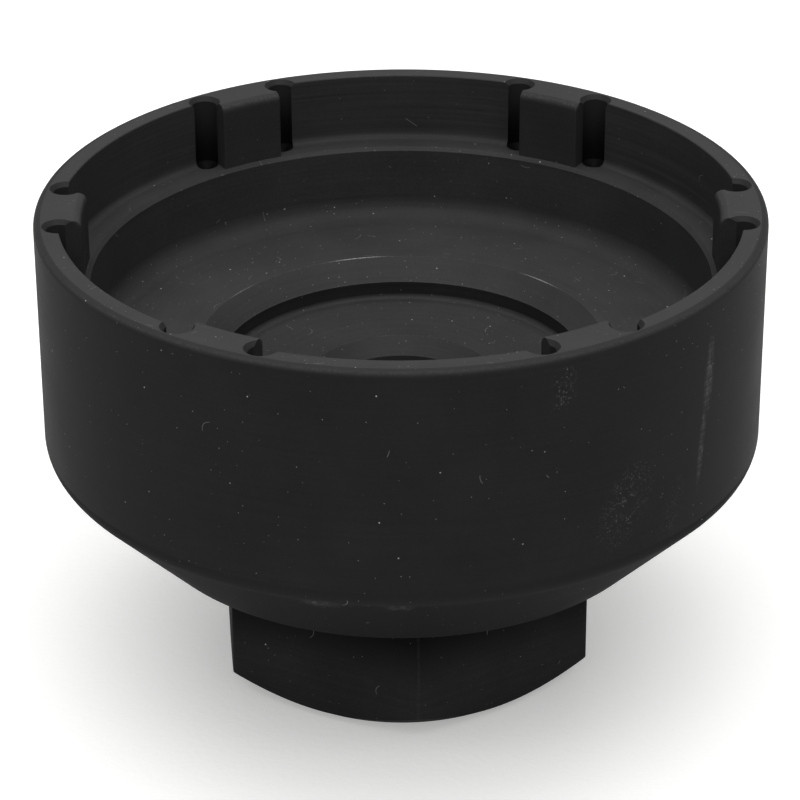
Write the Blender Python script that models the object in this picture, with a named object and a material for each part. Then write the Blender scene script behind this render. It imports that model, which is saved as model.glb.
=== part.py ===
"""Six-lug oil filter wrench: a turned steel cup with a hexagonal drive hub pressed into its base."""

import math

import bmesh
import bpy

MM = 0.001

# Overall sizes, in mm. Z is 0 on the hexagon's end face and rises to the open rim.
CUP_RADIUS = 50.0
HEX_ACROSS_FLATS = 50.0
TOTAL_HEIGHT = 69.1
PRESS_GAP = 0.3          # clearance that the two solids keep where they touch

# Depths below the rim.
LEDGE_DEPTH = 9.9
FLOOR_DEPTH = 20.9
DISC_DEPTH = 26.3
SHOULDER_DEPTH = 31.9    # where the outer cylinder starts to round over into the cone
UNDERSIDE_DEPTH = 46.4

# Bores of the cup.
POCKET_RADIUS = 46.7
LUG_FACE_RADIUS = 43.4
LOWER_BORE_RADIUS = 42.74
FLOOR_INNER_RADIUS = 28.3
STEP_RADIUS = 25.46
PRESS_RADIUS = 24.7
CONE_END_RADIUS = 37.0

# Rounds and chamfers of the cup.
RIM_ROUND = 1.1
LEDGE_FILLET = 1.0
LEDGE_CHAMFER = 0.5
FLOOR_FILLET = 3.0
STEP_FILLET = 0.7
SHOULDER_ROUND = 3.25
SHOULDER_SWEEP = 49.0    # degrees, a little more than the cone's own slope

# Lugs and their relief holes.
LUG_COUNT = 6
LUG_HALF_WIDTH = 4.7
LUG_TURN = math.radians(0.1)
RELIEF_RADIUS = 1.75
RELIEF_PITCH_RADIUS = 46.6
RELIEF_OFFSET = math.radians(7.75)
RELIEF_SINK_RADIUS = 2.5
RELIEF_SINK_DEPTH = 0.6
RELIEF_OVERRUN = 0.1
DRILL_POINT = math.radians(31.0)

# Drive hub.
HEX_TURN = math.radians(4.3)
HEX_END_RADIUS = 22.5
HEX_END_SLOPE = math.radians(35.5)
PILOT_RADIUS = 10.9
PILOT_SINK = 2.2
SQUARE_ACROSS_FLATS = 19.3
SQUARE_CORNER = 0.8
SQUARE_DEPTH = 26.0
SQUARE_SINK_RADIUS = 13.9
DETENT_RADIUS = 3.2
DETENT_DEPTH = 1.5
DETENT_HEIGHT = 13.0

TURN_STEPS = 72
POCKET_STEPS = 10
DRILL_STEPS = 16
SHARP_ANGLE = math.radians(25.0)


def clear_scene():
    for obj in list(bpy.data.objects):
        bpy.data.objects.remove(obj, do_unlink=True)


def arc(centre_r, centre_z, radius, start, end, steps=4):
    """Points of an arc in the radius-height plane, with angles in degrees."""
    points = []
    for i in range(steps + 1):
        angle = math.radians(start + (end - start) * i / steps)
        points.append((centre_r + radius * math.cos(angle), centre_z + radius * math.sin(angle)))
    return points


def add_turned(mesh, profile, steps, place=(0.0, 0.0)):
    """Spin a closed outline, in mm, about the vertical line through place."""
    verts = [mesh.verts.new(((place[0] + r) * MM, place[1] * MM, z * MM)) for r, z in profile]
    edges = [mesh.edges.new((verts[i], verts[(i + 1) % len(verts)])) for i in range(len(verts))]
    bmesh.ops.spin(
        mesh,
        geom=verts + edges,
        cent=(place[0] * MM, place[1] * MM, 0.0),
        axis=(0.0, 0.0, 1.0),
        angle=2.0 * math.pi,
        steps=steps,
        use_merge=True,
    )


def finish_mesh(mesh, name):
    """Close the seams of a bmesh, face it outwards and link it as a new object."""
    bmesh.ops.remove_doubles(mesh, verts=mesh.verts, dist=0.002 * MM)
    loose = [edge for edge in mesh.edges if not edge.link_faces]
    bmesh.ops.delete(mesh, geom=loose, context="EDGES")
    bmesh.ops.recalc_face_normals(mesh, faces=mesh.faces)
    data = bpy.data.meshes.new(name)
    mesh.to_mesh(data)
    mesh.free()
    data.shade_smooth()
    data.set_sharp_from_angle(angle=SHARP_ANGLE)
    obj = bpy.data.objects.new(name, data)
    bpy.context.collection.objects.link(obj)
    return obj


def hide_cutter(obj):
    obj.hide_render = True
    obj.display_type = "WIRE"
    return obj


def combine(target, cutter, operation):
    modifier = target.modifiers.new(cutter.name, "BOOLEAN")
    modifier.operation = operation
    modifier.solver = "EXACT"
    modifier.object = cutter


def steel(name, colour, roughness):
    material = bpy.data.materials.new(name)
    material.use_nodes = True
    shader = material.node_tree.nodes["Principled BSDF"]
    shader.inputs["Base Color"].default_value = (*colour, 1.0)
    shader.inputs["Roughness"].default_value = roughness
    shader.inputs["Metallic"].default_value = 0.6
    return material


def cup_profile():
    """Outline of the cup before the pockets are cut, with heights measured down from the rim."""
    rim_in = LUG_FACE_RADIUS + RIM_ROUND
    rim_out = CUP_RADIUS - RIM_ROUND
    corner = LOWER_BORE_RADIUS - FLOOR_FILLET
    points = arc(rim_in, -RIM_ROUND, RIM_ROUND, 180.0, 90.0)
    points += arc(rim_out, -RIM_ROUND, RIM_ROUND, 90.0, 0.0)
    points += arc(CUP_RADIUS - SHOULDER_ROUND, -SHOULDER_DEPTH, SHOULDER_ROUND, 0.0, -SHOULDER_SWEEP, 5)
    points += [(CONE_END_RADIUS, -UNDERSIDE_DEPTH), (PRESS_RADIUS, -UNDERSIDE_DEPTH)]
    points += arc(STEP_RADIUS - STEP_FILLET, -DISC_DEPTH + STEP_FILLET, STEP_FILLET, -85.0, 0.0)
    points += [
        (STEP_RADIUS, -FLOOR_DEPTH - (FLOOR_INNER_RADIUS - STEP_RADIUS)),
        (FLOOR_INNER_RADIUS, -FLOOR_DEPTH),
    ]
    points += arc(corner, -FLOOR_DEPTH + FLOOR_FILLET, FLOOR_FILLET, -90.0, 0.0, 6)
    points += [
        (LOWER_BORE_RADIUS, -LEDGE_DEPTH - LEDGE_CHAMFER),
        (LOWER_BORE_RADIUS + LEDGE_CHAMFER, -LEDGE_DEPTH),
        (LUG_FACE_RADIUS, -LEDGE_DEPTH),
    ]
    return [(r, TOTAL_HEIGHT + z) for r, z in points]


def pocket_cutter():
    """The six curved gaps between the lugs, each with a filleted foot."""
    top = TOTAL_HEIGHT + 1.0
    base = TOTAL_HEIGHT - LEDGE_DEPTH
    inner = LOWER_BORE_RADIUS - 1.5
    section = [(inner, top), (POCKET_RADIUS, top)]
    section += arc(POCKET_RADIUS - LEDGE_FILLET, base + LEDGE_FILLET, LEDGE_FILLET, 0.0, -90.0)
    section += [(inner, base)]
    pitch = 2.0 * math.pi / LUG_COUNT
    mesh = bmesh.new()
    for lug in range(LUG_COUNT):
        rows = []
        for step in range(POCKET_STEPS + 1):
            share = step / POCKET_STEPS
            row = []
            for r, z in section:
                edge = math.asin(LUG_HALF_WIDTH / r)
                angle = LUG_TURN + lug * pitch + edge + (pitch - 2.0 * edge) * share
                row.append(mesh.verts.new((r * math.cos(angle) * MM, r * math.sin(angle) * MM, z * MM)))
            rows.append(row)
        count = len(section)
        for first, second in zip(rows, rows[1:]):
            for i in range(count):
                j = (i + 1) % count
                mesh.faces.new((first[i], first[j], second[j], second[i]))
        mesh.faces.new(rows[0])
        mesh.faces.new(rows[-1])
    return hide_cutter(finish_mesh(mesh, "pocket_cutter"))


def relief_cutter():
    """The countersunk drilled hole on each side of each lug."""
    base = TOTAL_HEIGHT - LEDGE_DEPTH - RELIEF_OVERRUN
    sink = RELIEF_SINK_RADIUS - RELIEF_RADIUS
    profile = [
        (0.0, base - RELIEF_RADIUS * math.tan(DRILL_POINT)),
        (RELIEF_RADIUS, base),
        (RELIEF_RADIUS, TOTAL_HEIGHT - RELIEF_SINK_DEPTH),
        (RELIEF_SINK_RADIUS + sink, TOTAL_HEIGHT + RELIEF_SINK_DEPTH),
        (0.0, TOTAL_HEIGHT + RELIEF_SINK_DEPTH),
    ]
    mesh = bmesh.new()
    for lug in range(LUG_COUNT):
        for side in (-1.0, 1.0):
            angle = LUG_TURN + lug * 2.0 * math.pi / LUG_COUNT + side * RELIEF_OFFSET
            place = (RELIEF_PITCH_RADIUS * math.cos(angle), RELIEF_PITCH_RADIUS * math.sin(angle))
            add_turned(mesh, profile, DRILL_STEPS, place)
    return hide_cutter(finish_mesh(mesh, "relief_cutter"))


def cup_body():
    mesh = bmesh.new()
    add_turned(mesh, cup_profile(), TURN_STEPS)
    cup = finish_mesh(mesh, "cup_body")
    combine(cup, pocket_cutter(), "DIFFERENCE")
    combine(cup, relief_cutter(), "DIFFERENCE")
    cup.data.materials.append(steel("cup_black_oxide", (0.026, 0.026, 0.027), 0.5))
    return cup


def hub_profile():
    """Outline of the round blank that the hexagon is cut from."""
    blank = HEX_ACROSS_FLATS / math.sqrt(3.0) + 1.0
    shoulder = TOTAL_HEIGHT - UNDERSIDE_DEPTH - PRESS_GAP
    spigot = PRESS_RADIUS - PRESS_GAP
    disc = TOTAL_HEIGHT - DISC_DEPTH
    pilot = SQUARE_ACROSS_FLATS / 2.0 - 0.4
    return [
        (SQUARE_SINK_RADIUS, 0.0),
        (HEX_END_RADIUS, 0.0),
        (blank, (blank - HEX_END_RADIUS) * math.tan(HEX_END_SLOPE)),
        (blank, shoulder),
        (spigot, shoulder),
        (spigot, disc - 0.25),
        (spigot - 0.25, disc),
        (PILOT_RADIUS + PILOT_SINK, disc),
        (PILOT_RADIUS, disc - PILOT_SINK),
        (PILOT_RADIUS, SQUARE_DEPTH),
        (pilot, SQUARE_DEPTH),
        (pilot, SQUARE_SINK_RADIUS - pilot),
    ]


def prism(name, sides, across_flats, bottom, top, corner=0.0):
    """An upright prism, in mm, with one flat facing +X and optional rounded corners."""
    mesh = bmesh.new()
    radius = across_flats / 2.0 / math.cos(math.pi / sides)
    verts = []
    for i in range(sides):
        angle = (i + 0.5) * 2.0 * math.pi / sides
        verts.append(mesh.verts.new((radius * math.cos(angle) * MM, radius * math.sin(angle) * MM, bottom * MM)))
    base = mesh.faces.new(verts)
    grown = bmesh.ops.extrude_face_region(mesh, geom=[base])
    lifted = [item for item in grown["geom"] if isinstance(item, bmesh.types.BMVert)]
    bmesh.ops.translate(mesh, vec=(0.0, 0.0, (top - bottom) * MM), verts=lifted)
    if corner:
        upright = [e for e in mesh.edges if abs(e.verts[0].co.z - e.verts[1].co.z) > 0.5 * MM]
        bmesh.ops.bevel(mesh, geom=upright, offset=corner * MM, segments=3, profile=0.5, affect="EDGES")
    return hide_cutter(finish_mesh(mesh, name))


def detent_cutter(name, turn):
    """A cross-drilled cylinder that leaves a shallow ball pocket in two opposite square walls."""
    mesh = bmesh.new()
    reach = SQUARE_ACROSS_FLATS / 2.0 + DETENT_DEPTH
    bmesh.ops.create_cone(
        mesh,
        cap_ends=True,
        segments=20,
        radius1=DETENT_RADIUS * MM,
        radius2=DETENT_RADIUS * MM,
        depth=2.0 * reach * MM,
    )
    cutter = hide_cutter(finish_mesh(mesh, name))
    cutter.location = (0.0, 0.0, DETENT_HEIGHT * MM)
    cutter.rotation_euler = (0.0, math.pi / 2.0, turn)
    return cutter


def drive_hub():
    mesh = bmesh.new()
    add_turned(mesh, hub_profile(), TURN_STEPS)
    hub = finish_mesh(mesh, "drive_hub")
    hexagon = prism("hexagon_form", 6, HEX_ACROSS_FLATS, -1.0, TOTAL_HEIGHT)
    square = prism("square_cutter", 4, SQUARE_ACROSS_FLATS, -1.0, SQUARE_DEPTH, SQUARE_CORNER)
    hexagon.rotation_euler.z = HEX_TURN
    square.rotation_euler.z = HEX_TURN
    combine(hub, hexagon, "INTERSECT")
    combine(hub, square, "DIFFERENCE")
    combine(hub, detent_cutter("detent_cutter_x", HEX_TURN), "DIFFERENCE")
    combine(hub, detent_cutter("detent_cutter_y", HEX_TURN + math.pi / 2.0), "DIFFERENCE")
    hub.data.materials.append(steel("hub_black_oxide", (0.022, 0.022, 0.023), 0.5))
    return hub


clear_scene()
cup_body()
drive_hub()
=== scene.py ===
import math

import bmesh
import bpy
from mathutils import Matrix, Vector, geometry


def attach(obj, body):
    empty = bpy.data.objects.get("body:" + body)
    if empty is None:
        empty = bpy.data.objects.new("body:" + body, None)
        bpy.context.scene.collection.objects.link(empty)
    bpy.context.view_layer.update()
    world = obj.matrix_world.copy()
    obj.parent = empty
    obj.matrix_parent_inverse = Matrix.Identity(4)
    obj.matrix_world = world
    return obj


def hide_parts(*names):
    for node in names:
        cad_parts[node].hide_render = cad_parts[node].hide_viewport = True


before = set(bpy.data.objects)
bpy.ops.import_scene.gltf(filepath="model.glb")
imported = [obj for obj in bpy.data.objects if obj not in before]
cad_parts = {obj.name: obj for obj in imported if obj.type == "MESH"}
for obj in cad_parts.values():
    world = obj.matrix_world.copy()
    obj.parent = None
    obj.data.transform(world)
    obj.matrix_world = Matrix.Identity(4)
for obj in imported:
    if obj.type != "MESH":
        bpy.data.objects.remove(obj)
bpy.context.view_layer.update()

mm = 0.001
weld = {"sector": 0.002, "ring": 0.003, "piece": 0.004, "sliver": 0.001}  # mm, closer points are one
print("frame loaded")


# small helpers shared by every piece and finish

def hexColour(text):
    # sRGB hex to linear
    parts = [int(text[i:i + 2], 16) / 255.0 for i in (1, 3, 5)]
    return tuple(p / 12.92 if p <= 0.04045 else ((p + 0.055) / 1.055) ** 2.4 for p in parts) + (1.0,)


def place(tree, kind, options=None, feeds=None):
    # adds one node, sets its options, then links or fills its sockets; gives back its outputs
    node = tree.nodes.new(kind)
    for name, value in (options or {}).items():
        setattr(node, name, value)
    for socket, value in (feeds or {}).items():
        if isinstance(value, bpy.types.NodeSocket):
            tree.links.new(value, node.inputs[socket])
        else:
            node.inputs[socket].default_value = value
    return node.outputs


def arcPoints(centreR, centreZ, radius, start, end, steps):
    # points of a round in the (radius, height) section, angles in degrees
    points = []
    for i in range(steps + 1):
        angle = math.radians(start + (end - start) * i / steps)
        points.append((centreR + radius * math.cos(angle), centreZ + radius * math.sin(angle)))
    return points


def settle(obj):
    # bakes the modifiers into a plain mesh and drops them
    evaluated = obj.evaluated_get(bpy.context.evaluated_depsgraph_get())
    mesh = bpy.data.meshes.new_from_object(evaluated)
    obj.modifiers.clear()
    obj.data = mesh


def finishNormals(obj, sharpAngle):
    # closed shell, outward normals, crisp arrises and flat faces that shade flat
    work = bmesh.new()
    work.from_mesh(obj.data)
    bmesh.ops.remove_doubles(work, verts=work.verts, dist=weld["piece"] * mm)
    bmesh.ops.dissolve_degenerate(work, edges=work.edges, dist=weld["sliver"] * mm)
    bmesh.ops.recalc_face_normals(work, faces=work.faces)
    openEdges = sum(1 for edge in work.edges if not edge.is_manifold)
    for face in work.faces:
        face.smooth = True
    work.to_mesh(obj.data)
    work.free()
    obj.data.set_sharp_from_angle(angle=math.radians(sharpAngle))
    weighted = obj.modifiers.new("flatFaces", "WEIGHTED_NORMAL")
    weighted.keep_sharp = True
    weighted.weight = 100
    settle(obj)
    print(obj.name, "faces", len(obj.data.polygons), "open edges", openEdges)


# finishes: all are black-oxide steel, told apart by how each surface was cut; their dark and light tones
# also carry painted light and shade, lighter on the faced rings, the hub's disc and the bores, darker on
# the outside, the cone and the hexagon

cupFinishes = [
    "turnedOutside", "turnedCone", "facedRings", "boredWalls", "boredLower", "boredStep",
    "milledLugs", "drilledReliefs",
]
hubFinishes = ["milledFlats", "turnedHub", "broachedSquare", "facedEnd"]

oxide = {
    "dust": "#b9b8b4",
    "scuff": "#6d6c6a",
    # the bare-metal grey also paints the highlights of the worn rings
    "bareMetalAndHighlight": "#8d8c89",
    "roughness": 0.56,
    "roughnessSpread": 0.07,
    "ior": 1.5,  # the oxide skin is what shows, and it isn't a metal
    "gloss": 0.12,  # specular level of a finish that names none of its own
    "shadeLow": 0.3, "shadeHigh": 0.7,  # most of a noise's values lie between these
    "waver": 0.035,  # wandering of the tool lines, per mm
    "mottle": 0.085,  # patches of thicker and thinner oxide, per mm
    "burrWidth": 0.13,  # mm
    "specksPerMm": 3.0,  # peppered scuffs: a speck each third of a millimetre
    "driftsPerMm": 0.42,
    "lintCell": 4.6, "lintScatter": 0.8, "lintBow": 0.7,  # mm, share, bend of a fibre
    "fibreCore": 0.01, "fibreEdge": 0.065,  # mm from the fibre's middle: solid, then gone
}
# where in a noise's values each kind of mark starts and is full
breaks = {
    "wearAndHighlightRing": (0.38, 0.62), "arris": (0.35, 0.6), "burr": (0.3, 0.6),
    "drift": (0.34, 0.6), "rub": (0.4, 0.68), "ridge": (0.4, 0.58),
}
speckFade = (0.12, 0.36)  # a speck's solid middle and its edge, as shares of its cell
rubStretch = (1.5, 0.5, 0.0)  # makes the rub's noise run up the wall
mmPerMetre = 1000.0


def ringGap(tree, section, ringRadius, ringHeight):
    # distance from a ring round the axis, which is a point in the (radius, height) section
    offset = place(tree, "ShaderNodeVectorMath", {"operation": "SUBTRACT"},
                   {0: section, 1: (ringRadius, ringHeight, 0.0)})["Vector"]
    return place(tree, "ShaderNodeVectorMath", {"operation": "LENGTH"}, {0: offset})["Value"]


def wearAndHighlightMarks(tree, look, on):
    # arrises rubbed to grey metal, and rings of painted highlight along the rim's round and the lugs' tops,
    # broken up by the grain
    marks = []
    for ringRadius, ringHeight, width, strength in look.get("wearAndHighlightRings", ()):
        gap = ringGap(tree, on["section"], ringRadius, ringHeight)
        near = place(tree, "ShaderNodeMapRange", {"interpolation_type": "SMOOTHSTEP"},
                     {"Value": gap, "From Max": width, "To Min": strength, "To Max": 0.0})["Result"]
        broken = place(tree, "ShaderNodeMapRange", None,
                       {"Value": on["grain"], "From Min": breaks["wearAndHighlightRing"][0],
                        "From Max": breaks["wearAndHighlightRing"][1]})["Result"]
        mask = place(tree, "ShaderNodeMath", {"operation": "MULTIPLY"}, {0: near, 1: broken})[0]
        marks.append((mask, oxide["bareMetalAndHighlight"]))
    if "wornFrom" in look:
        start, end, strength = look["wornFrom"]
        near = place(tree, "ShaderNodeMapRange", {"interpolation_type": "SMOOTHSTEP"},
                     {"Value": on["radius"], "From Min": start, "From Max": end,
                      "To Max": strength})["Result"]
        broken = place(tree, "ShaderNodeMapRange", None,
                       {"Value": on["grain"], "From Min": breaks["arris"][0],
                        "From Max": breaks["arris"][1]})["Result"]
        mask = place(tree, "ShaderNodeMath", {"operation": "MULTIPLY"}, {0: near, 1: broken})[0]
        marks.append((mask, oxide["bareMetalAndHighlight"]))
    return marks


def burrGlintMarks(tree, look, on):
    # short bright arcs on a ring, where the tool lifted the edge: partly bare burrs, partly painted
    # highlight
    marks = []
    for ringRadius, ringHeight, middle, half, strength in look.get("burrGlints", ()):
        gap = ringGap(tree, on["section"], ringRadius, ringHeight)
        swing = place(tree, "ShaderNodeMath", {"operation": "SUBTRACT"},
                      {0: on["turn"], 1: math.radians(middle)})[0]
        swing = place(tree, "ShaderNodeMath", {"operation": "ABSOLUTE"}, {0: swing})[0]
        window = place(tree, "ShaderNodeMapRange", {"interpolation_type": "SMOOTHSTEP"},
                       {"Value": swing, "From Max": math.radians(half),
                        "To Min": 1.0, "To Max": 0.0})["Result"]
        line = place(tree, "ShaderNodeMapRange", {"interpolation_type": "SMOOTHSTEP"},
                     {"Value": gap, "From Max": oxide["burrWidth"],
                      "To Min": strength, "To Max": 0.0})["Result"]
        torn = place(tree, "ShaderNodeMapRange", None,
                     {"Value": on["grain"], "From Min": breaks["burr"][0],
                      "From Max": breaks["burr"][1], "To Min": 0.25})["Result"]
        line = place(tree, "ShaderNodeMath", {"operation": "MULTIPLY"}, {0: line, 1: torn})[0]
        mask = place(tree, "ShaderNodeMath", {"operation": "MULTIPLY"}, {0: window, 1: line})[0]
        marks.append((mask, oxide["dust"]))
    return marks


def pepperedScuff(tree, on, strength):
    # fine dust caught in the scuff, speck by speck and thicker in drifts
    specks = place(tree, "ShaderNodeTexVoronoi", {"voronoi_dimensions": "2D"},
                   {"Vector": on["surface"], "Scale": oxide["specksPerMm"]})
    thick = place(tree, "ShaderNodeSeparateColor", None, {0: specks["Color"]})["Red"]
    thick = place(tree, "ShaderNodeMapRange", None, {"Value": thick, "From Min": 0.5})["Result"]
    spread = place(tree, "ShaderNodeMapRange", None,
                   {"Value": specks["Distance"], "From Min": speckFade[0], "From Max": speckFade[1],
                    "To Min": strength, "To Max": 0.1 * strength})["Result"]
    spread = place(tree, "ShaderNodeMath", {"operation": "MULTIPLY"}, {0: spread, 1: thick})[0]
    drift = place(tree, "ShaderNodeTexNoise", None,
                  {"Vector": on["surface"], "Scale": oxide["driftsPerMm"],
                   "Detail": 4.0, "Roughness": 0.7})["Fac"]
    drift = place(tree, "ShaderNodeMapRange", None,
                  {"Value": drift, "From Min": breaks["drift"][0],
                   "From Max": breaks["drift"][1]})["Result"]
    return place(tree, "ShaderNodeMath", {"operation": "MULTIPLY"}, {0: spread, 1: drift})[0]


def rubbedScuff(tree, on, strength):
    # a rub that takes the oxide off the tops of the tool lines
    streaked = place(tree, "ShaderNodeVectorMath", {"operation": "MULTIPLY"},
                     {0: on["surface"], 1: rubStretch})["Vector"]
    rub = place(tree, "ShaderNodeTexNoise", None,
                {"Vector": streaked, "Scale": 1.0, "Detail": 6.0, "Roughness": 0.8})["Fac"]
    rub = place(tree, "ShaderNodeMapRange", None,
                {"Value": rub, "From Min": breaks["rub"][0], "From Max": breaks["rub"][1],
                 "To Max": strength})["Result"]
    ridges = place(tree, "ShaderNodeMapRange", None,
                   {"Value": on["lines"], "From Min": breaks["ridge"][0],
                    "From Max": breaks["ridge"][1], "To Min": 0.25})["Result"]
    return place(tree, "ShaderNodeMath", {"operation": "MULTIPLY"}, {0: rub, 1: ridges})[0]


def scuffMarks(tree, look, on):
    # handling scuffs: leaning ovals, either rubbed or peppered with fine dust
    marks = []
    for middle, height, halfWide, halfTall, lean, strength, kind in look.get("scuffs", ()):
        rise = place(tree, "ShaderNodeMath", {"operation": "SUBTRACT"}, {0: on["axes"]["Z"], 1: height})[0]
        side = place(tree, "ShaderNodeMath", {"operation": "SUBTRACT"},
                     {0: on["around"], 1: math.radians(middle) * look["unroll"]})[0]
        side = place(tree, "ShaderNodeMath", {"operation": "MULTIPLY_ADD"}, {0: rise, 1: -lean, 2: side})[0]
        oval = place(tree, "ShaderNodeCombineXYZ", None, {0: side, 1: rise})[0]
        oval = place(tree, "ShaderNodeVectorMath", {"operation": "MULTIPLY"},
                     {0: oval, 1: (1.0 / halfWide, 1.0 / halfTall, 0.0)})["Vector"]
        reach = place(tree, "ShaderNodeVectorMath", {"operation": "LENGTH"}, {0: oval})["Value"]
        patch = place(tree, "ShaderNodeMapRange", {"interpolation_type": "SMOOTHSTEP"},
                      {"Value": reach, "From Min": 0.2, "From Max": 1.0,
                       "To Min": 1.0, "To Max": 0.0})["Result"]
        scuff = (pepperedScuff if kind == "peppered" else rubbedScuff)(tree, on, strength)
        mask = place(tree, "ShaderNodeMath", {"operation": "MULTIPLY"}, {0: patch, 1: scuff})[0]
        marks.append((mask, oxide["scuff"]))
    return marks


def dustMarks(tree, look, on):
    # specks where little spheres scattered through space meet the surface
    marks = []
    for cell, size, share, strength in look["dust"]:
        cells = place(tree, "ShaderNodeTexVoronoi", None, {"Vector": on["point"], "Scale": 1.0 / cell})
        spot = place(tree, "ShaderNodeMapRange", None,
                     {"Value": cells["Distance"], "From Min": 0.55 * size / cell,
                      "From Max": size / cell, "To Min": strength, "To Max": 0.0})["Result"]
        pick = place(tree, "ShaderNodeSeparateColor", None, {0: cells["Color"]})["Red"]
        chosen = place(tree, "ShaderNodeMapRange", None, {"Value": pick, "From Min": 1.0 - share})["Result"]
        mask = place(tree, "ShaderNodeMath", {"operation": "MULTIPLY"}, {0: spot, 1: chosen})[0]
        marks.append((mask, oxide["dust"]))
    return marks


def lintMarks(tree, look, on):
    # one short curved fibre in some of the cells that the surface is divided into
    if not look.get("lint"):
        return []
    cells = place(tree, "ShaderNodeTexVoronoi", {"voronoi_dimensions": "2D"},
                  {"Vector": on["surface"], "Scale": 1.0 / oxide["lintCell"],
                   "Randomness": oxide["lintScatter"]})
    local = place(tree, "ShaderNodeVectorMath", {"operation": "SUBTRACT"},
                  {0: on["surface"], 1: cells["Position"]})["Vector"]
    pick = place(tree, "ShaderNodeSeparateColor", None, {0: cells["Color"]})
    spin = place(tree, "ShaderNodeMath", {"operation": "MULTIPLY"}, {0: pick["Red"], 1: 2.0 * math.pi})[0]
    turned = place(tree, "ShaderNodeVectorRotate", {"rotation_type": "Z_AXIS"},
                   {"Vector": local, "Angle": spin})["Vector"]
    along = place(tree, "ShaderNodeSeparateXYZ", None, {0: turned})
    bend = place(tree, "ShaderNodeMapRange", None,
                 {"Value": pick["Green"], "To Min": -oxide["lintBow"],
                  "To Max": oxide["lintBow"]})["Result"]
    square = place(tree, "ShaderNodeMath", {"operation": "MULTIPLY"}, {0: along["X"], 1: along["X"]})[0]
    bow = place(tree, "ShaderNodeMath", {"operation": "MULTIPLY"}, {0: square, 1: bend})[0]
    away = place(tree, "ShaderNodeMath", {"operation": "SUBTRACT"}, {0: along["Y"], 1: bow})[0]
    away = place(tree, "ShaderNodeMath", {"operation": "ABSOLUTE"}, {0: away})[0]
    thread = place(tree, "ShaderNodeMapRange", None,
                   {"Value": away, "From Min": oxide["fibreCore"], "From Max": oxide["fibreEdge"],
                    "To Min": look["lint"], "To Max": 0.0})["Result"]
    reach = place(tree, "ShaderNodeMath", {"operation": "ABSOLUTE"}, {0: along["X"]})[0]
    length = place(tree, "ShaderNodeMapRange", None,
                   {"Value": pick["Blue"], "From Min": 1.0 - look["lintShare"]})["Result"]
    inside = place(tree, "ShaderNodeMath", {"operation": "LESS_THAN"}, {0: reach, 1: length})[0]
    mask = place(tree, "ShaderNodeMath", {"operation": "MULTIPLY"}, {0: thread, 1: inside})[0]
    return [(mask, oxide["dust"])]


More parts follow.
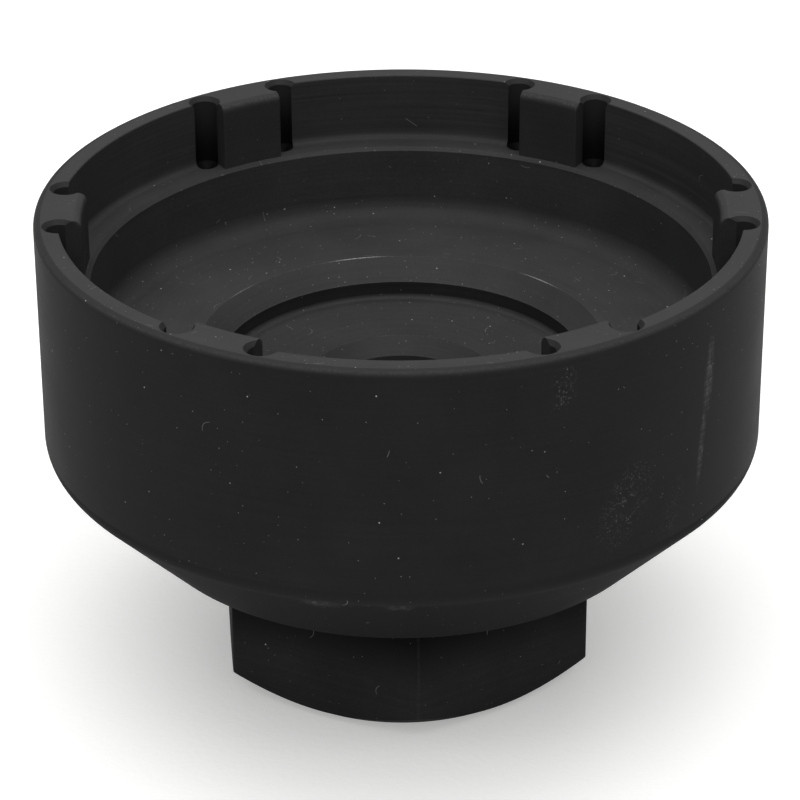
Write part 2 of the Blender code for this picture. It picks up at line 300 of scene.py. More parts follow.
def blackOxide(name, look):
    # black-oxide steel: near-black magnetite skin, satin, that keeps the tool marks beneath it,
    # takes dust readily and rubs through to grey metal on its arrises
    material = bpy.data.materials.new(name)
    material.use_nodes = True
    tree = material.node_tree
    tree.nodes.clear()

    # where the point is, in mm: round the axis, along it, and unrolled flat
    objectPoint = place(tree, "ShaderNodeTexCoord")["Object"]
    point = place(tree, "ShaderNodeVectorMath", {"operation": "SCALE"},
                  {0: objectPoint, "Scale": mmPerMetre})["Vector"]
    axes = place(tree, "ShaderNodeSeparateXYZ", None, {0: point})
    flat = place(tree, "ShaderNodeVectorMath", {"operation": "MULTIPLY"},
                 {0: point, 1: (1.0, 1.0, 0.0)})["Vector"]
    radius = place(tree, "ShaderNodeVectorMath", {"operation": "LENGTH"}, {0: flat})["Value"]
    frontward = place(tree, "ShaderNodeMath", {"operation": "MULTIPLY"}, {0: axes["Y"], 1: -1.0})[0]
    turn = place(tree, "ShaderNodeMath", {"operation": "ARCTAN2"}, {0: axes["X"], 1: frontward})[0]
    around = place(tree, "ShaderNodeMath", {"operation": "MULTIPLY"}, {0: turn, 1: look["unroll"]})[0]
    surface = flat
    if look["wall"]:
        surface = place(tree, "ShaderNodeCombineXYZ", None, {0: around, 1: axes["Z"]})[0]

    # tool lines: long in the direction of the cut, close together across it
    if look["cut"] == "straight":
        section = place(tree, "ShaderNodeCombineXYZ", None, {0: axes["Z"]})[0]
    else:
        section = place(tree, "ShaderNodeCombineXYZ", None, {0: radius, 1: axes["Z"]})[0]
    close = place(tree, "ShaderNodeVectorMath", {"operation": "SCALE"},
                  {0: section, "Scale": 1.0 / look["linePitch"]})["Vector"]
    lazy = place(tree, "ShaderNodeVectorMath", {"operation": "SCALE"},
                 {0: point, "Scale": oxide["waver"]})["Vector"]
    linePoint = place(tree, "ShaderNodeVectorMath", {"operation": "ADD"}, {0: close, 1: lazy})["Vector"]
    lines = place(tree, "ShaderNodeTexNoise", None,
                  {"Vector": linePoint, "Scale": 1.0, "Detail": 3.0, "Roughness": 0.65})["Fac"]
    grain = place(tree, "ShaderNodeTexNoise", None,
                  {"Vector": point, "Scale": 1.0 / look["grainSize"],
                   "Detail": 2.0, "Roughness": 0.6})["Fac"]
    mottle = place(tree, "ShaderNodeTexNoise", None,
                   {"Vector": point, "Scale": oxide["mottle"], "Detail": 4.0, "Roughness": 0.6})["Fac"]

    # the three together give the shade, and with it the colour and the roughness
    shade = place(tree, "ShaderNodeMath", {"operation": "MULTIPLY"}, {0: lines, 1: look["lineTint"]})[0]
    for source, weight in ((grain, look["grainTint"]), (mottle, look["mottleTint"])):
        shade = place(tree, "ShaderNodeMath", {"operation": "MULTIPLY_ADD"},
                      {0: source, 1: weight, 2: shade})[0]
    total = look["lineTint"] + look["grainTint"] + look["mottleTint"]
    darkest, lightest = oxide["shadeLow"] * total, oxide["shadeHigh"] * total
    tone = place(tree, "ShaderNodeMapRange", None,
                 {"Value": shade, "From Min": darkest, "From Max": lightest})["Result"]
    colour = place(tree, "ShaderNodeMix", {"data_type": "RGBA"},
                   {0: tone, 6: hexColour(look["dark"]), 7: hexColour(look["light"])})[2]
    # painted light and shade by height: between the low and high heights the colour turns to the tint
    if "paintedLightByHeight" in look:
        low, high, tint = look["paintedLightByHeight"]
        paintedLightShare = place(tree, "ShaderNodeMapRange", {"interpolation_type": "SMOOTHSTEP"},
                       {"Value": axes["Z"], "From Min": low, "From Max": high})["Result"]
        colour = place(tree, "ShaderNodeMix", {"data_type": "RGBA"},
                       {0: paintedLightShare, 6: colour, 7: hexColour(tint)})[2]
    rough = place(tree, "ShaderNodeMapRange", None,
                  {"Value": shade, "From Min": darkest, "From Max": lightest,
                   "To Min": oxide["roughness"] - oxide["roughnessSpread"],
                   "To Max": oxide["roughness"] + oxide["roughnessSpread"]})["Result"]

    # wear, dirt and painted highlights lie over the colour, the later over the earlier
    on = {"point": point, "axes": axes, "radius": radius, "turn": turn, "around": around,
          "surface": surface, "section": section, "lines": lines, "grain": grain}
    for layer in (wearAndHighlightMarks, burrGlintMarks, scuffMarks, dustMarks, lintMarks):
        for mask, tint in layer(tree, look, on):
            colour = place(tree, "ShaderNodeMix", {"data_type": "RGBA", "clamp_factor": True},
                           {0: mask, 6: colour, 7: hexColour(tint)})[2]

    # relief of the tool lines and of the oxide's own grain, in mm
    relief = place(tree, "ShaderNodeMath", {"operation": "MULTIPLY"}, {0: lines, 1: look["lineDepth"]})[0]
    relief = place(tree, "ShaderNodeMath", {"operation": "MULTIPLY_ADD"},
                   {0: grain, 1: look["grainDepth"], 2: relief})[0]
    normal = place(tree, "ShaderNodeBump", None,
                   {"Height": relief, "Strength": 1.0, "Distance": mm})["Normal"]
    shader = place(tree, "ShaderNodeBsdfPrincipled", None,
                   {"Base Color": colour, "Roughness": rough, "Normal": normal, "IOR": oxide["ior"],
                    "Specular IOR Level": look.get("gloss", oxide["gloss"])})["BSDF"]
    place(tree, "ShaderNodeOutputMaterial", None, {"Surface": shader})
    return material


# dust and lint: cell spacing and speck radius in mm, share of cells used, strength
dustLight = [(2.7, 0.13, 0.7, 0.85), (1.1, 0.08, 0.65, 0.5)]
dustHeavy = [(1.9, 0.14, 0.9, 0.85), (0.9, 0.085, 0.85, 0.55)]

# the height fade paints light and shade: the colour turns to its tint from the low height to the high
# the rings on the rim's round and the lugs' rounded tops are partly worn arrises, partly painted highlight
# lengths are in mm, angles in degrees from the front; the real tool feed is about 0.15 to 0.2,
# and linePitch draws it two or three times coarser so that it shows
# wearAndHighlightRings: radius, height, width, strength      wornFrom: start and end radius, strength
# burrs: radius, height, middle angle, half angle, strength      paintedLightByHeight: low, high, tint
# scuffs: middle angle, height, half width, half height, lean, strength, kind
looks = {
    # alloy steel, finish-turned then blacked: soft black satin with fine rings round it,
    # rubbed where it is handled; its tone is set darker as painted shade
    "turnedOutside": {
        "dark": "#1a1a1b", "light": "#242424",
        "wall": True, "cut": "round", "unroll": 50.0, "linePitch": 0.34, "grainSize": 0.3,
        "lineTint": 0.5, "grainTint": 0.4, "mottleTint": 0.7, "lineDepth": 0.006, "grainDepth": 0.008,
        "dust": dustLight, "lint": 0.22, "lintShare": 0.07,
        # the height fade lightens the top of the rim's round as painted highlight; the ring there is partly
        # wear, partly painted highlight
        "gloss": 0.035, "paintedLightByHeight": (68.1, 68.95, "#343435"),
        "wearAndHighlightRings": [(49.75, 68.85, 0.4, 0.06)],
        "scuffs": [(53.2, 58.0, 1.3, 7.5, 0.07, 0.75, "rubbed"),
                   (51.8, 48.5, 0.8, 8.0, 0.09, 0.6, "rubbed"),
                   (35.4, 45.0, 5.2, 8.0, 0.3, 0.7, "peppered"),
                   (24.0, 64.4, 2.4, 4.4, 0.1, 0.7, "peppered"),
                   (160.0, 50.0, 5.0, 8.0, 0.1, 0.5, "peppered"),
                   (-120.0, 44.0, 1.2, 8.0, -0.1, 0.5, "rubbed"),
                   (45.0, 41.0, 2.6, 7.0, 0.2, 0.35, "peppered")],
    },
    # the same bar, turned to a slope: as fine, and a shade deeper as painted shade on the down-facing
    # slope, fading back to the outside's tone up at the shoulder
    "turnedCone": {
        "dark": "#141415", "light": "#1d1d1d",
        "wall": True, "cut": "round", "unroll": 42.0, "linePitch": 0.34, "grainSize": 0.3,
        "lineTint": 0.5, "grainTint": 0.4, "mottleTint": 0.7, "lineDepth": 0.006, "grainDepth": 0.008,
        "dust": dustLight, "lint": 0.22, "lintShare": 0.07,
        "gloss": 0.008, "paintedLightByHeight": (33.9, 35.6, "#222223"),
        "wearAndHighlightRings": [(37.0, 22.7, 0.3, 0.2)],
        "scuffs": [(-12.7, 34.0, 3.4, 1.6, 0.0, 1.0, "peppered"),
                   (-12.7, 34.2, 3.0, 1.1, 0.0, 0.4, "rubbed"),
                   (-0.5, 34.0, 2.4, 1.4, 0.0, 1.0, "peppered"),
                   (-0.5, 34.1, 2.0, 1.0, 0.0, 0.4, "rubbed"),
                   (30.0, 31.0, 6.0, 2.2, 0.0, 0.3, "peppered")],
    },
    # faced on the lathe: flat rings, lighter in tone as painted light from above, where dust and lint
    # settle
    "facedRings": {
        "dark": "#2e2e2f", "light": "#3f3f3f",
        "wall": False, "cut": "round", "unroll": 40.0, "linePitch": 0.3, "grainSize": 0.28,
        "lineTint": 0.5, "grainTint": 0.5, "mottleTint": 0.7, "lineDepth": 0.005, "grainDepth": 0.007,
        "dust": dustHeavy, "lint": 0.2, "lintShare": 0.28,
        "wearAndHighlightRings": [(28.3, 48.2, 0.15, 0.07), (25.46, 45.36, 0.15, 0.08), (44.2, 69.0, 0.5, 0.06)],
        # bright arcs on the floor's inner edge: partly burrs, partly painted highlight
        "burrGlints": [(28.3, 48.2, -167.0, 12.0, 0.9), (28.3, 48.2, 135.0, 9.0, 0.7),
                  (28.3, 48.2, -126.0, 8.0, 0.35)],
    },
    # bored with a single point: the coarsest rings of all, close and level; a lighter tone as painted light
    "boredWalls": {
        "dark": "#2c2c2d", "light": "#404040",
        "wall": True, "cut": "round", "unroll": 44.0, "linePitch": 0.42, "grainSize": 0.3,
        "lineTint": 0.9, "grainTint": 0.35, "mottleTint": 0.5, "lineDepth": 0.014, "grainDepth": 0.006,
        "dust": dustLight, "lint": 0.3, "lintShare": 0.12,
    },
    # the chamfer down to the disc: bored, in a darker tone as painted shade, so its edges read crisply
    "boredStep": {
        "dark": "#202021", "light": "#303030",
        "wall": True, "cut": "round", "unroll": 25.0, "linePitch": 0.42, "grainSize": 0.3,
        "lineTint": 0.9, "grainTint": 0.35, "mottleTint": 0.5, "lineDepth": 0.014, "grainDepth": 0.006,
        "dust": dustLight, "lint": 0.35, "lintShare": 0.06,
    },
    # left standing by an end mill, softly rounded on top: plainer and more even than the turned faces
    "milledLugs": {
        "dark": "#2b2b2c", "light": "#3a3a3a",
        "wall": True, "cut": "round", "unroll": 44.0, "linePitch": 0.6, "grainSize": 0.3,
        "lineTint": 0.35, "grainTint": 0.5, "mottleTint": 0.6, "lineDepth": 0.006, "grainDepth": 0.007,
        "dust": dustLight, "wearAndHighlightRings": [(43.9, 68.6, 0.5, 0.14)],
    },
    # drilled at the lugs' roots: painted shade, nearly black down the hole and lighter toward its top
    "drilledReliefs": {
        "dark": "#070707", "light": "#101010", "paintedLightByHeight": (59.2, 69.3, "#2c2c2c"),
        "wall": True, "cut": "straight", "unroll": 44.0, "linePitch": 0.3, "grainSize": 0.25,
        "lineTint": 0.9, "grainTint": 0.3, "mottleTint": 0.3, "lineDepth": 0.02, "grainDepth": 0.006,
        "dust": [(1.6, 0.1, 0.5, 0.4)],
    },
    # hexagon milled flat: level strokes along it, a hairline of grey metal where two flats meet; its tone
    # is set darker as painted shade, darkest toward the top as painted shadow under the cup
    "milledFlats": {
        "dark": "#202021", "light": "#2e2e2e", "gloss": 0.01,
        "wornFrom": (28.64, 28.76, 0.03), "paintedLightByHeight": (7.0, 19.0, "#0d0d0e"),
        "wall": True, "cut": "straight", "unroll": 25.0, "linePitch": 0.8, "grainSize": 0.3,
        "lineTint": 0.45, "grainTint": 0.5, "mottleTint": 0.7, "lineDepth": 0.006, "grainDepth": 0.008,
        "dust": dustLight, "lint": 0.2, "lintShare": 0.1,
    },
    # disc, spigot and pilot hole of the hub, faced and bored: rings in a lighter tone as painted light, and
    # settled dust
    "turnedHub": {
        "dark": "#2b2b2c", "light": "#3a3a3a",
        "wall": False, "cut": "round", "unroll": 20.0, "linePitch": 0.3, "grainSize": 0.28,
        "lineTint": 0.6, "grainTint": 0.45, "mottleTint": 0.6, "lineDepth": 0.007, "grainDepth": 0.007,
        "dust": dustHeavy, "lint": 0.2, "lintShare": 0.28,
        "wearAndHighlightRings": [(13.1, 42.8, 0.15, 0.06)],
    },
    # square cut by a broach: long straight strokes up the walls
    "broachedSquare": {
        "dark": "#1c1c1d", "light": "#2a2a2a",
        "wall": True, "cut": "straight", "unroll": 10.0, "linePitch": 1.4, "grainSize": 0.3,
        "lineTint": 0.7, "grainTint": 0.5, "mottleTint": 0.5, "lineDepth": 0.012, "grainDepth": 0.006,
        "dust": dustLight,
    },
}
# the end that stands on the bench: faced, low in shine, with worn grey rings at both its edges
looks["facedEnd"] = dict(looks["turnedHub"], dark="#141415", light="#1d1d1d", gloss=0.008,
                         dust=dustLight, wearAndHighlightRings=[(22.5, 0.0, 0.3, 0.25), (13.9, 0.0, 0.3, 0.25)])
# the wall below the ledge, bored in one long pass: finer than the pockets' wall
looks["boredLower"] = dict(looks["boredWalls"], lineTint=0.35, lineDepth=0.006, grainTint=0.5)
materials = {name: blackOxide("blackOxide" + name[0].upper() + name[1:], looks[name])
             for name in cupFinishes + hubFinishes}
print("finishes made", len(materials))


# cup: one sixth of it is drawn round a lug, then the sixths are set round the axis

cup = {
    "rimHeight": 69.1, "outerRadius": 50.0, "rimRound": 0.98,
    "pocketRadius": 46.7, "pocketBreak": 0.12, "pocketFillet": 1.0,
    "lugFaceRadius": 43.4, "lugHalfWidth": 4.7, "lugTopRound": 1.1, "lugCorner": 0.25,
    "lugCount": 6, "firstLugTurn": 0.1,
    "reliefRadius": 1.75, "reliefPitchRadius": 46.6, "reliefOffset": 7.75,
    "sinkRadius": 2.3, "sinkDepth": 0.6, "drillDepth": 10.0, "drillPoint": 31.0,
    "ledgeDepth": 9.9, "ledgeRadius": 43.24, "boreRadius": 42.74, "boreFillet": 3.0,
    "floorDepth": 20.9, "floorInnerRadius": 28.3, "stepRadius": 25.46, "stepFillet": 0.7,
    "discDepth": 26.3, "pressRadius": 24.7,
    "undersideDepth": 46.4, "coneEndRadius": 37.0,
    "shoulderDepth": 31.9, "shoulderRound": 3.25, "shoulderSweep": 49.0,
    "bottomArris": 0.15, "columnStep": 2.0, "sharpAngle": 28.0,
    # rings between the corners, only to keep the faces short: radii and depths
    "boreRing": 14.0, "floorRings": (34.0, 31.0), "undersideRing": 31.0, "coneRing": (42.0, 41.33),
    "skirtRings": (26.0, 20.0, 14.0, 8.0, 3.0),
}
# rows of the broken wall, close together where the lug's top and the pocket's foot are rounded
depths = [0, .04, .12, .25, .42, .6, .8, 1.1, 2, 3.5, 5, 6.5, 8,
          8.9, 9.2, 9.45, 9.65, 9.8, 9.87, 9.9]
faceSteps, cornerSteps, sideSteps, holeSteps, pocketSteps = 8, 4, 3, 22, 12
boreFilletSteps, stepFilletSteps, shoulderSteps, rimSteps = 10, 6, 8, 7
reliefTurn = math.radians(cup["reliefOffset"])
reliefCentre = (cup["reliefPitchRadius"] * math.cos(reliefTurn),
                cup["reliefPitchRadius"] * math.sin(reliefTurn))


def reachAngle(ringRadius, holeRadius):
    # angle at the axis between the relief's centre and where its edge crosses a ring
    pitch = cup["reliefPitchRadius"]
    return math.acos((ringRadius ** 2 + pitch ** 2 - holeRadius ** 2) / (2.0 * ringRadius * pitch))


def holeRadiusAt(depth):
    if depth >= cup["sinkDepth"]:
        return cup["reliefRadius"]
    return cup["sinkRadius"] + (cup["reliefRadius"] - cup["sinkRadius"]) * depth / cup["sinkDepth"]


def pocketRadiusAt(depth):
    fillet = cup["pocketFillet"]
    below = depth - (cup["ledgeDepth"] - fillet)
    if below > 0.0:
        return cup["pocketRadius"] - fillet + math.sqrt(max(0.0, fillet ** 2 - below ** 2))
    return cup["pocketRadius"] + max(0.0, cup["pocketBreak"] - depth)


def halfOutline(depth):
    # half of the plan from the lug's middle to the middle of the next pocket, and the angles
    # at which it enters and leaves the relief hole
    face = cup["lugFaceRadius"]
    top = cup["lugTopRound"]
    if depth < top:
        face += top - math.sqrt(top ** 2 - (top - depth) ** 2)
    hole = holeRadiusAt(depth)
    half = cup["lugHalfWidth"]
    cu, cv = reliefCentre
    sideEnd = cu - math.sqrt(hole ** 2 - (cv - half) ** 2)
    edge = math.sqrt(face ** 2 - half ** 2)
    corner = min(cup["lugCorner"], (sideEnd - edge) * 0.8)  # never wider than the side it rounds
    middle = math.sqrt((face + corner) ** 2 - (half - corner) ** 2)
    cornerTurn = math.atan2(half - corner, middle)
    points = []
    for i in range(faceSteps):
        angle = cornerTurn * i / faceSteps
        points.append((face * math.cos(angle), face * math.sin(angle)))
    for i in range(cornerSteps):
        angle = math.pi + cornerTurn - (math.pi / 2.0 + cornerTurn) * i / cornerSteps
        points.append((middle + corner * math.cos(angle), half - corner + corner * math.sin(angle)))
    for i in range(sideSteps):
        points.append((middle + (sideEnd - middle) * i / sideSteps, half))
    startAngle = math.atan2(half - cv, sideEnd - cu)
    ring = pocketRadiusAt(depth)
    ringTurn = reliefTurn + reachAngle(ring, hole)
    endAngle = math.atan2(ring * math.sin(ringTurn) - cv, ring * math.cos(ringTurn) - cu)
    for i in range(holeSteps):
        angle = startAngle + (endAngle - startAngle) * i / holeSteps
        points.append((cu + hole * math.cos(angle), cv + hole * math.sin(angle)))
    lastTurn = math.pi / cup["lugCount"]
    for i in range(pocketSteps + 1):
        angle = ringTurn + (lastTurn - ringTurn) * i / pocketSteps
        points.append((ring * math.cos(angle), ring * math.sin(angle)))
    return points, startAngle, endAngle


def wholeOutline(half):
    return [(u, -v) for u, v in reversed(half[1:])] + half


outlineFinish = ["milledLugs"] * (faceSteps + cornerSteps + sideSteps)
outlineFinish += ["drilledReliefs"] * holeSteps + ["boredWalls"] * pocketSteps


def cupSection():
    # the turned part of the cup from the ledge's inner edge, down, under and up to the rim
    c = cup
    rim, arris = c["outerRadius"] - c["rimRound"], c["bottomArris"]
    rows = [((c["ledgeRadius"], -c["ledgeDepth"]), "facedRings")]
    ledgeBreak = c["ledgeRadius"] - c["boreRadius"]
    rows.append(((c["boreRadius"], -c["ledgeDepth"] - ledgeBreak), "boredLower"))
    rows.append(((c["boreRadius"], -c["boreRing"]), "boredLower"))
    corner = c["boreRadius"] - c["boreFillet"]
    for p in arcPoints(corner, -c["floorDepth"] + c["boreFillet"], c["boreFillet"],
                       0.0, -90.0, boreFilletSteps):
        rows.append((p, "facedRings"))
    for r in c["floorRings"]:
        rows.append(((r, -c["floorDepth"]), "facedRings"))
    rows.append(((c["floorInnerRadius"], -c["floorDepth"]), "facedRings"))
    chamfer = c["floorInnerRadius"] - c["stepRadius"]
    rows.append(((c["stepRadius"], -c["floorDepth"] - chamfer), "boredStep"))
    foot = c["stepRadius"] - c["stepFillet"]
    for p in arcPoints(foot, -c["discDepth"] + c["stepFillet"], c["stepFillet"],
                       0.0, -90.0, stepFilletSteps):
        rows.append((p, "facedRings"))
    rows.append(((c["pressRadius"], -c["discDepth"]), "boredWalls"))
    rows.append(((c["pressRadius"], -c["undersideDepth"]), "turnedOutside"))
    rows.append(((c["undersideRing"], -c["undersideDepth"]), "turnedOutside"))
    rows.append(((c["coneEndRadius"] - arris, -c["undersideDepth"]), "turnedOutside"))
    upCone = 0.6 * arris  # where the broken edge meets the cone
    rows.append(((c["coneEndRadius"] + upCone, -c["undersideDepth"] + upCone), "turnedCone"))
    rows.append(((c["coneRing"][0], -c["coneRing"][1]), "turnedCone"))
    for p in arcPoints(c["outerRadius"] - c["shoulderRound"], -c["shoulderDepth"], c["shoulderRound"],
                       -c["shoulderSweep"], 0.0, shoulderSteps)[:-1]:
        rows.append((p, "turnedCone"))
    rows.append(((c["outerRadius"], -c["shoulderDepth"]), "turnedOutside"))
    for depth in c["skirtRings"]:
        rows.append(((c["outerRadius"], -depth), "turnedOutside"))
    for p in arcPoints(rim, -c["rimRound"], c["rimRound"], 0.0, 90.0, rimSteps):
        rows.append((p, "turnedOutside"))
    return rows


def buildSector():
    work = bmesh.new()
    code = work.faces.layers.int.new("finish")
    high = cup["rimHeight"]

    def vert(u, v, depth):
        return work.verts.new((u * mm, v * mm, (high - depth) * mm))

    def skin(first, second, names):
        for i, (a, b, c, d) in enumerate(zip(first, first[1:], second[1:], second)):
            face = work.faces.new((a, b, c, d))
            face[code] = cupFinishes.index(names[i] if isinstance(names, list) else names)

    def plane(outer, inner, depth, name):
        # flat sheet between two runs of points that share their end angles
        loop = outer + inner[::-1]
        flatPoints = [Vector(p) for p in loop]
        found = geometry.delaunay_2d_cdt(flatPoints, [], [list(range(len(loop)))], 1, 1e-7)
        made = [vert(p.x, p.y, depth) for p in found[0]]
        for corners in found[2]:
            face = work.faces.new([made[i] for i in corners])
            face[code] = cupFinishes.index(name)

    halfTurn = math.pi / cup["lugCount"]
    count = round(math.degrees(2.0 * halfTurn) / cup["columnStep"])
    turns = [-halfTurn + 2.0 * halfTurn * i / count for i in range(count + 1)]
    names = outlineFinish[::-1] + outlineFinish

    # the broken wall of lugs, reliefs and pockets
    rows = [[vert(u, v, depth) for u, v in wholeOutline(halfOutline(depth)[0])] for depth in depths]
    for first, second in zip(rows, rows[1:]):
        skin(first, second, names)

    # rim face
    rimRadius = cup["outerRadius"] - cup["rimRound"]
    ringPoints = [(rimRadius * math.cos(t), rimRadius * math.sin(t)) for t in turns]
    plane(ringPoints, wholeOutline(halfOutline(0.0)[0]), 0.0, "facedRings")

    # ledge face, with the drill pits sunk in it
    half, startAngle, endAngle = halfOutline(cup["ledgeDepth"])
    before = faceSteps + cornerSteps + sideSteps
    cu, cv = reliefCentre
    hole = cup["reliefRadius"]
    inward = []
    for i in range(holeSteps + 1):
        angle = endAngle + (startAngle + 2.0 * math.pi - endAngle) * i / holeSteps
        inward.append((cu + hole * math.cos(angle), cv + hole * math.sin(angle)))
    ledgeHalf = half[:before] + inward[::-1] + half[before + holeSteps + 1:]
    innerPoints = [(cup["ledgeRadius"] * math.cos(t), cup["ledgeRadius"] * math.sin(t)) for t in turns]
    plane(wholeOutline(ledgeHalf), innerPoints, cup["ledgeDepth"], "facedRings")
    pit = half[before:before + holeSteps + 1] + inward[1:-1]
    tipDepth = cup["drillDepth"] + hole * math.tan(math.radians(cup["drillPoint"]))
    for side in (1.0, -1.0):
        loops = []
        for share, depth in ((1.0, cup["ledgeDepth"]), (1.0, cup["drillDepth"]), (0.5, None), (0.1, None)):
            if depth is None:  # on the drill's point
                depth = tipDepth - (tipDepth - cup["drillDepth"]) * share
            loops.append([vert(cu + (u - cu) * share, side * (cv + (v - cv) * share), depth)
                          for u, v in pit])
        for first, second in zip(loops, loops[1:]):
            skin(first + first[:1], second + second[:1], "drilledReliefs")
        tip = vert(cu, side * cv, tipDepth)
        for a, b in zip(loops[-1], loops[-1][1:] + loops[-1][:1]):
            work.faces.new((a, b, tip))[code] = cupFinishes.index("drilledReliefs")

    # everything turned
    section = cupSection()
    columns = [[vert(r * math.cos(t), r * math.sin(t), -z) for t in turns] for (r, z), name in section]
    for i in range(len(section) - 1):
        skin(columns[i], columns[i + 1], section[i][1])

    mesh = bpy.data.meshes.new("lugSector")
    bmesh.ops.remove_doubles(work, verts=work.verts, dist=weld["sector"] * mm)
    work.to_mesh(mesh)
    work.free()
    return mesh


def lugRingTree():
    # sets copies of one sector round the axis, welds them and gives each cut its finish
    tree = bpy.data.node_groups.new("lugRing", "GeometryNodeTree")
    for name, kind, inOut in (("Geometry", "NodeSocketGeometry", "INPUT"),
                              ("Lug count", "NodeSocketInt", "INPUT"),
                              ("First lug turn", "NodeSocketFloat", "INPUT"),
                              ("Weld distance", "NodeSocketFloat", "INPUT"),
                              ("Geometry", "NodeSocketGeometry", "OUTPUT")):
        tree.interface.new_socket(name, in_out=inOut, socket_type=kind)
    given = place(tree, "NodeGroupInput")
    points = place(tree, "GeometryNodePoints", None, {"Count": given["Lug count"]})[0]
    index = place(tree, "GeometryNodeInputIndex")[0]
    share = place(tree, "ShaderNodeMath", {"operation": "DIVIDE"}, {0: index, 1: given["Lug count"]})[0]
    angle = place(tree, "ShaderNodeMath", {"operation": "MULTIPLY_ADD"},
                  {0: share, 1: 2.0 * math.pi, 2: given["First lug turn"]})[0]
    euler = place(tree, "ShaderNodeCombineXYZ", None, {"Z": angle})[0]
    rotation = place(tree, "FunctionNodeEulerToRotation", None, {0: euler})[0]
    copies = place(tree, "GeometryNodeInstanceOnPoints", None,
                   {"Points": points, "Instance": given["Geometry"], "Rotation": rotation})[0]
    whole = place(tree, "GeometryNodeRealizeInstances", None, {0: copies})[0]
    whole = place(tree, "GeometryNodeMergeByDistance", None,
                  {"Geometry": whole, "Distance": given["Weld distance"]})[0]
    cut = place(tree, "GeometryNodeInputNamedAttribute", {"data_type": "INT"}, {"Name": "finish"})[0]
    for code, name in enumerate(cupFinishes):
        wanted = place(tree, "FunctionNodeCompare", {"data_type": "INT", "operation": "EQUAL"},
                       {2: cut, 3: code})[0]
        whole = place(tree, "GeometryNodeSetMaterial", None,
                      {"Geometry": whole, "Selection": wanted, "Material": materials[name]})[0]
    place(tree, "NodeGroupOutput", None, {0: whole})
    return tree


def makeCup():
    obj = bpy.data.objects.new("turnedCup", buildSector())
    bpy.context.scene.collection.objects.link(obj)
    ring = obj.modifiers.new("lugRing", "NODES")
    ring.node_group = lugRingTree()
    wanted = {"Lug count": cup["lugCount"], "First lug turn": math.radians(cup["firstLugTurn"]),
              "Weld distance": weld["ring"] * mm}
    for item in ring.node_group.interface.items_tree:
        if item.item_type == "SOCKET" and item.in_out == "INPUT" and item.name in wanted:
            ring[item.identifier] = wanted[item.name]
    settle(obj)
    finishNormals(obj, cup["sharpAngle"])
    return obj


cupBody = makeCup()
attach(cupBody, "root")
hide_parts("cup_body")
print("cup made")


# drive hub: hexagon outside, square drive inside, spigot and disc up in the cup

hub = {
    "turn": 4.3, "acrossFlats": 50.0, "cornerRadius": 28.75,
    "endRadius": 22.5, "endSlope": 35.5, "shoulderHeight": 22.4, "spigotRadius": 24.68,
    "discHeight": 42.8, "pilotRadius": 10.93, "pilotSink": 2.17,
    "squareAcrossFlats": 19.3, "squareCorner": 0.8, "squareHeight": 26.0, "squareSinkRadius": 13.9,
    "detentRadius": 3.2, "detentDepth": 1.5, "detentHeight": 13.0,
    "columns": 360, "sharpAngle": 24.0,
    # rings between the corners, only to keep the faces short: radii and heights
    "discRings": (20.0, 16.0), "pilotRing": 34.0, "endRing": 18.0, "flatRings": (6.0, 12.0, 18.0),
    # rows of the square's wall, close together over the ball pockets
    "wallRings": [26.0, 22.0, 18.0, 16.4] + [15.9 - 0.29 * i for i in range(21)] + [9.4, 7.0, 5.0],
}


def hexRadius(angle):
    local = (angle + 30.0) % 60.0 - 30.0
    return min(hub["acrossFlats"] / 2.0 / math.cos(math.radians(local)), hub["cornerRadius"])


def squareRadius(angle):
    local = abs((angle + 45.0) % 90.0 - 45.0)
    half, corner = hub["squareAcrossFlats"] / 2.0, hub["squareCorner"]
    if local <= math.degrees(math.atan2(half - corner, half)):
        return half / math.cos(math.radians(local))
    reach = (half - corner) * math.sqrt(2.0)
    off = math.radians(45.0 - local)
    return reach * math.cos(off) + math.sqrt(corner ** 2 - (reach * math.sin(off)) ** 2)


def squareWall(angle, height):
    # a point of the square's wall, sunk into the ball pocket where there is one
    r = squareRadius(angle)
    local = math.radians((angle + 45.0) % 90.0 - 45.0)
    along, out = r * math.sin(local), r * math.cos(local)
    gap = math.hypot(along, height - hub["detentHeight"])
    floorGap = hub["detentRadius"] - hub["detentDepth"]
    if gap < math.sqrt(hub["detentRadius"] ** 2 - floorGap ** 2):
        out += math.sqrt(hub["detentRadius"] ** 2 - gap ** 2) - floorGap
    return math.hypot(along, out), math.degrees(math.atan2(along, out) - local)


def hubRows():
    # the hub's section once round: what each ring's radius, height and shift are at an angle
    h = hub
    rows = []
    for r in (h["spigotRadius"],) + h["discRings"]:
        rows.append((lambda a, r=r: (r, h["discHeight"], 0.0), "turnedHub"))
    sink = h["pilotRadius"] + h["pilotSink"]
    rows.append((lambda a: (sink, h["discHeight"], 0.0), "turnedHub"))
    for z in (h["discHeight"] - h["pilotSink"], h["pilotRing"], h["squareHeight"]):
        rows.append((lambda a, z=z: (h["pilotRadius"], z, 0.0), "turnedHub"))
    for z in h["wallRings"]:
        rows.append((lambda a, z=z: (squareWall(a, z)[0], z, squareWall(a, z)[1]), "broachedSquare"))
    rows.append((lambda a: (squareRadius(a), h["squareSinkRadius"] - squareRadius(a), 0.0), "turnedHub"))
    for r in (h["squareSinkRadius"], h["endRing"], h["endRadius"]):
        rows.append((lambda a, r=r: (r, 0.0, 0.0), "facedEnd"))
    slope = math.tan(math.radians(h["endSlope"]))
    rows.append((lambda a: (hexRadius(a), (hexRadius(a) - h["endRadius"]) * slope, 0.0), "milledFlats"))
    for z in h["flatRings"]:
        rows.append((lambda a, z=z: (hexRadius(a), z, 0.0), "milledFlats"))
    rows.append((lambda a: (hexRadius(a), h["shoulderHeight"], 0.0), "turnedHub"))
    rows.append((lambda a: (h["spigotRadius"], h["shoulderHeight"], 0.0), "turnedHub"))
    return rows


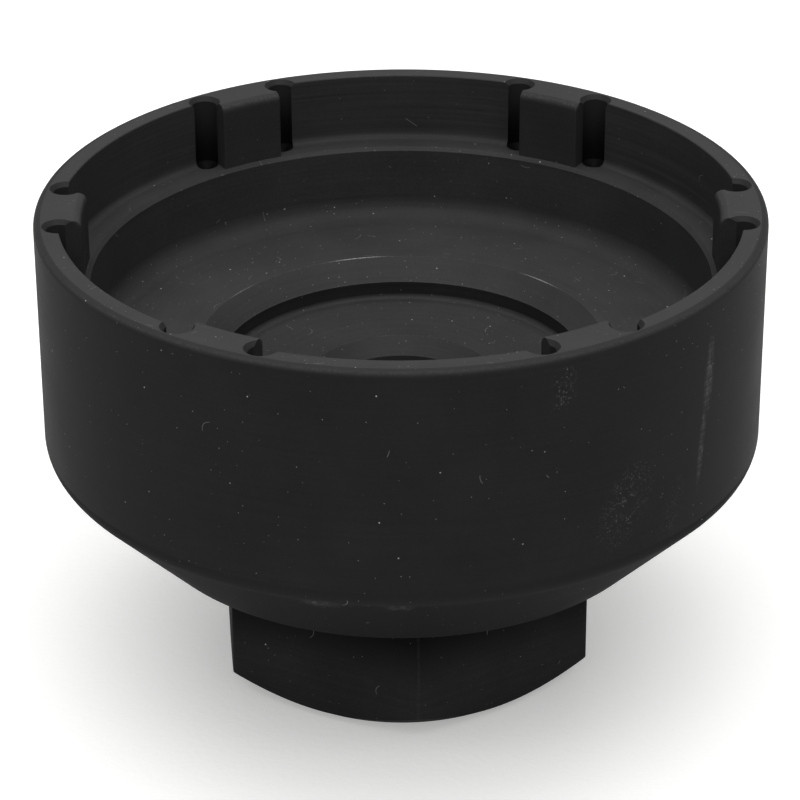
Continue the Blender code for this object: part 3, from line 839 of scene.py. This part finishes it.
def makeHub():
    work = bmesh.new()
    rows = hubRows()
    rings = []
    for shape, name in rows:
        ring = []
        for i in range(hub["columns"]):
            angle = 360.0 * i / hub["columns"]
            r, z, shift = shape(angle)
            t = math.radians(angle + shift + hub["turn"])
            ring.append(work.verts.new((r * math.cos(t) * mm, r * math.sin(t) * mm, z * mm)))
        rings.append(ring)
    for i, (shape, name) in enumerate(rows):
        first, second = rings[i], rings[(i + 1) % len(rings)]
        for j in range(hub["columns"]):
            k = (j + 1) % hub["columns"]
            face = work.faces.new((first[j], first[k], second[k], second[j]))
            face.material_index = hubFinishes.index(name)
    mesh = bpy.data.meshes.new("driveHub")
    work.to_mesh(mesh)
    work.free()
    obj = bpy.data.objects.new("driveHub", mesh)
    for name in hubFinishes:
        mesh.materials.append(materials[name])
    bpy.context.scene.collection.objects.link(obj)
    finishNormals(obj, hub["sharpAngle"])
    return obj


driveHub = makeHub()
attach(driveHub, "root")
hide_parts("drive_hub")
print("hub made")


# floor, light and camera

studio = {
    "floorSize": 10.0,  # metres
    "floorDrop": 0.05,  # mm below the end face that it carries
    "floorTone": "#f2f2f1", "floorGlow": 0.4, "farGlow": 0.95, "farReach": (0.6, 2.4),
    "floorRoughness": 0.9, "floorGloss": 0.2, "fibreScale": 900.0, "fibreRelief": 0.05,
    "worldTone": "#e6e6e6", "worldStrength": 0.13, "backdropStrength": 1.2,
    "aim": (0.0, 0.0, 0.04),
    # name, place, width, depth, watts
    "lights": [
        ("overheadSoftbox", (0.0, 0.0, 1.3), 1.8, 1.8, 20.0),
        ("frontSoftbox", (0.0, -1.0, 1.1), 1.2, 0.8, 6.0),
        ("leftSoftbox", (-1.2, 0.0, 0.45), 0.8, 0.8, 0.6),
        ("rightSoftbox", (1.2, 0.0, 0.45), 0.8, 0.8, 0.42),
        ("backSoftbox", (0.0, 1.2, 0.6), 1.2, 0.8, 2.0),
    ],
}


def makeFloor():
    size, low = studio["floorSize"] / 2.0, -studio["floorDrop"] * mm
    mesh = bpy.data.meshes.new("studioFloor")
    mesh.from_pydata([(-size, -size, low), (size, -size, low), (size, size, low), (-size, size, low)],
                     [], [(0, 1, 2, 3)])
    floor = bpy.data.objects.new("studioFloor", mesh)
    bpy.context.scene.collection.objects.link(floor)
    material = bpy.data.materials.new("whitePaperSweep")  # coated paper off a roll: even, matt and pale
    material.use_nodes = True
    tree = material.node_tree
    tree.nodes.clear()
    objectPoint = place(tree, "ShaderNodeTexCoord")["Object"]
    fibre = place(tree, "ShaderNodeTexNoise", None,
                  {"Vector": objectPoint, "Scale": studio["fibreScale"], "Detail": 2.0})["Fac"]
    normal = place(tree, "ShaderNodeBump", None,
                   {"Height": fibre, "Strength": studio["fibreRelief"], "Distance": mm})["Normal"]
    away = place(tree, "ShaderNodeVectorMath", {"operation": "LENGTH"}, {0: objectPoint})["Value"]
    start, end = studio["farReach"]
    glow = place(tree, "ShaderNodeMapRange", None,  # keeps the floor pale out to the horizon
                 {"Value": away, "From Min": start, "From Max": end,
                  "To Min": studio["floorGlow"], "To Max": studio["farGlow"]})["Result"]
    shader = place(tree, "ShaderNodeBsdfPrincipled", None,
                   {"Base Color": hexColour(studio["floorTone"]), "Normal": normal,
                    "Roughness": studio["floorRoughness"], "Specular IOR Level": studio["floorGloss"],
                    "Emission Color": hexColour(studio["floorTone"]), "Emission Strength": glow})["BSDF"]
    place(tree, "ShaderNodeOutputMaterial", None, {"Surface": shader})
    mesh.materials.append(material)


def makeLights():
    for name, spot, wide, tall, power in studio["lights"]:
        lamp = bpy.data.lights.new(name, "AREA")
        lamp.shape = "RECTANGLE"
        lamp.size, lamp.size_y, lamp.energy = wide, tall, power
        obj = bpy.data.objects.new(name, lamp)
        obj.location = spot
        obj.rotation_euler = (Vector(studio["aim"]) - Vector(spot)).to_track_quat("-Z", "Y").to_euler()
        bpy.context.scene.collection.objects.link(obj)
    world = bpy.data.worlds.new("studioRoom")
    world.use_nodes = True
    tree = world.node_tree
    tree.nodes.clear()
    tone = hexColour(studio["worldTone"])
    dim, pale = [place(tree, "ShaderNodeBackground", None, {"Color": tone, "Strength": power})[0]
                 for power in (studio["worldStrength"], studio["backdropStrength"])]
    # a pale backdrop that doesn't light the part
    seen = place(tree, "ShaderNodeLightPath")["Is Camera Ray"]
    room = place(tree, "ShaderNodeMixShader", None, {0: seen, 1: dim, 2: pale})[0]
    place(tree, "ShaderNodeOutputWorld", None, {"Surface": room})
    bpy.context.scene.world = world


view = {
    "spot": (0.0, -0.428858, 0.262721), "target": (-0.0002224, 0.0, 0.0391628),
    "lens": 155.04, "sensor": 36.0, "nearest": 0.01, "roll": -0.253,
}


def makeCamera():
    data = bpy.data.cameras.new("productCamera")
    data.lens, data.sensor_width, data.clip_start = view["lens"], view["sensor"], view["nearest"]
    camera = bpy.data.objects.new("productCamera", data)
    aim = (Vector(view["target"]) - Vector(view["spot"])).to_track_quat("-Z", "Y").to_matrix().to_4x4()
    camera.matrix_world = (Matrix.Translation(Vector(view["spot"])) @ aim
                           @ Matrix.Rotation(math.radians(view["roll"]), 4, "Z"))
    bpy.context.scene.collection.objects.link(camera)
    bpy.context.scene.camera = camera


makeFloor()
makeLights()
makeCamera()
bpy.context.scene.view_settings.view_transform = "Standard"
print("studio set")
